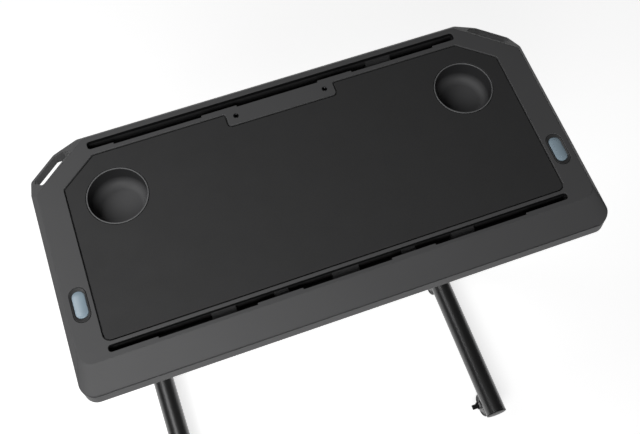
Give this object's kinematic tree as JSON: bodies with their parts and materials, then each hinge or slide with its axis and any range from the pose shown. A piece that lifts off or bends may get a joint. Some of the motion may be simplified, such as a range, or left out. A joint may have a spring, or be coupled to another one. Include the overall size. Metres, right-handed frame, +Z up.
{
  "type": "bike trainer desk",
  "caption": "Height-adjustable desk for an indoor bike trainer: moulded top with mat, cup holders, device slots and corner grips, on two telescopic legs with casters.",
  "frame": {"origin": "on the floor, under the middle of the desk's outline", "axes": "+Z up, +Y away from the rider, +X to the rider's right"},
  "size_m": [0.833, 0.497, 1.1012],
  "materials": {
    "shell": "satin charcoal moulding with a fine grain",
    "lower_shell": "satin charcoal moulding, a shade lighter",
    "mat": "matt dark rubber mat",
    "button": "satin blue-grey",
    "dark_plastic": "dark moulded plastic",
    "tube": "satin black paint",
    "steel": "zinc-plated steel",
    "caster_fork": "grey painted pressed steel",
    "wheel": "black moulded wheel"
  },
  "bodies": {
    "base": {"foot_tube_l": "tube", "foot_tube_r": "tube", "leg_elbow_l": "tube", "leg_elbow_r": "tube", "outer_column_l": "tube", "outer_column_r": "tube", "column_collar_l": "dark_plastic", "column_collar_r": "dark_plastic", "foot_end_cap_l": "dark_plastic", "foot_end_cap_r": "dark_plastic", "tie_tube": "tube", "tie_bolt_l": "steel", "tie_bolt_r": "steel", "caster_socket_front_l": "dark_plastic", "caster_socket_front_r": "dark_plastic", "caster_socket_rear_l": "dark_plastic", "caster_socket_rear_r": "dark_plastic"},
    "desk_top": {"top_shell": "shell", "bottom_shell": "lower_shell", "desk_mat": "mat", "near_slot_tray": "dark_plastic", "far_slot_tray": "dark_plastic", "crossbeam": "tube", "cup_holder_l": "shell", "cup_holder_r": "shell", "column_bracket_l": "tube", "column_bracket_r": "tube", "threaded_insert_l": "steel", "threaded_insert_r": "steel", "button_bezel_l": "dark_plastic", "button_bezel_r": "dark_plastic", "button_spring_l": "steel", "button_spring_r": "steel", "inner_column_l": "steel", "inner_column_r": "steel", "column_bush_l": "dark_plastic", "column_bush_r": "dark_plastic", "brake_shoe_l": "dark_plastic", "brake_shoe_r": "dark_plastic"},
    "button_l": {"release_button_l": "button"},
    "button_r": {"release_button_r": "button"},
    "rocker_l": {"release_rocker_l": "dark_plastic"},
    "rocker_r": {"release_rocker_r": "dark_plastic"},
    "lock_l": {"lock_rod_l": "steel"},
    "lock_r": {"lock_rod_r": "steel"},
    "swivel_front_l": {"caster_fork_front_l": "caster_fork", "caster_axle_front_l": "steel"},
    "swivel_front_r": {"caster_fork_front_r": "caster_fork", "caster_axle_front_r": "steel"},
    "swivel_rear_l": {"caster_fork_rear_l": "caster_fork", "caster_axle_rear_l": "steel"},
    "swivel_rear_r": {"caster_fork_rear_r": "caster_fork", "caster_axle_rear_r": "steel"},
    "wheel_front_l": {"caster_wheel_front_l": "wheel"},
    "wheel_front_r": {"caster_wheel_front_r": "wheel"},
    "wheel_rear_l": {"caster_wheel_rear_l": "wheel"},
    "wheel_rear_r": {"caster_wheel_rear_r": "wheel"},
    "brake_l": {"brake_lever_l": "dark_plastic"},
    "brake_r": {"brake_lever_r": "dark_plastic"}
  },
  "joints": [
    {"name": "desk_height", "type": "slide", "parent": "base", "child": "desk_top", "axis": [0, -0.1822, 0.9833], "range_m": [-0.264, 0.123]},
    {"name": "button_press_l", "type": "slide", "parent": "desk_top", "child": "button_l", "axis": [0, 0, -1], "range_m": [0, 0.004], "stiffness_N_per_m": 800, "springref_m": -0.002, "deforming": ["button_spring_l"]},
    {"name": "button_press_r", "type": "slide", "parent": "desk_top", "child": "button_r", "axis": [0, 0, -1], "range_m": [0, 0.004], "stiffness_N_per_m": 800, "springref_m": -0.002, "deforming": ["button_spring_r"]},
    {"name": "rocker_turn_l", "type": "hinge", "parent": "desk_top", "child": "rocker_l", "pos_m": [-0.382, -0.00003, 1.0695], "axis": [1, 0, 0], "range_deg": [0, 8]},
    {"name": "rocker_turn_r", "type": "hinge", "parent": "desk_top", "child": "rocker_r", "pos_m": [0.382, -0.00003, 1.0695], "axis": [1, 0, 0], "range_deg": [0, 8]},
    {"name": "lock_lift_l", "type": "slide", "parent": "desk_top", "child": "lock_l", "axis": [0, -0.1822, 0.9833], "range_m": [0, 0.0045]},
    {"name": "lock_lift_r", "type": "slide", "parent": "desk_top", "child": "lock_r", "axis": [0, -0.1822, 0.9833], "range_m": [0, 0.0045]},
    {"name": "swivel_turn_front_l", "type": "hinge", "parent": "base", "child": "swivel_front_l", "pos_m": [-0.382, -0.2225, 0.0639], "axis": [0, 0, 1], "continuous": true},
    {"name": "swivel_turn_front_r", "type": "hinge", "parent": "base", "child": "swivel_front_r", "pos_m": [0.382, -0.2225, 0.0639], "axis": [0, 0, 1], "continuous": true},
    {"name": "swivel_turn_rear_l", "type": "hinge", "parent": "base", "child": "swivel_rear_l", "pos_m": [-0.382, 0.12974, 0.0639], "axis": [0, 0, 1], "continuous": true},
    {"name": "swivel_turn_rear_r", "type": "hinge", "parent": "base", "child": "swivel_rear_r", "pos_m": [0.382, 0.12974, 0.0639], "axis": [0, 0, 1], "continuous": true},
    {"name": "wheel_roll_front_l", "type": "hinge", "parent": "swivel_front_l", "child": "wheel_front_l", "pos_m": [-0.382, -0.2055, 0.03], "axis": [1, 0, 0], "continuous": true},
    {"name": "wheel_roll_front_r", "type": "hinge", "parent": "swivel_front_r", "child": "wheel_front_r", "pos_m": [0.382, -0.2055, 0.03], "axis": [1, 0, 0], "continuous": true},
    {"name": "wheel_roll_rear_l", "type": "hinge", "parent": "swivel_rear_l", "child": "wheel_rear_l", "pos_m": [-0.382, 0.14674, 0.03], "axis": [1, 0, 0], "continuous": true},
    {"name": "wheel_roll_rear_r", "type": "hinge", "parent": "swivel_rear_r", "child": "wheel_rear_r", "pos_m": [0.382, 0.14674, 0.03], "axis": [1, 0, 0], "continuous": true},
    {"name": "brake_press_l", "type": "hinge", "parent": "swivel_front_l", "child": "brake_l", "pos_m": [-0.357, -0.2055, 0.046], "axis": [0, 1, 0], "range_deg": [0, 20]},
    {"name": "brake_press_r", "type": "hinge", "parent": "swivel_front_r", "child": "brake_r", "pos_m": [0.357, -0.2055, 0.046], "axis": [0, -1, 0], "range_deg": [0, 20]}
  ],
  "couplings": [
    {"joint": "rocker_turn_l", "follows": "button_press_l", "rad_per_m": 33.37},
    {"joint": "rocker_turn_r", "follows": "button_press_r", "rad_per_m": 33.37},
    {"joint": "lock_lift_l", "follows": "button_press_l", "ratio": 1.1},
    {"joint": "lock_lift_r", "follows": "button_press_r", "ratio": 1.1}
  ]
}
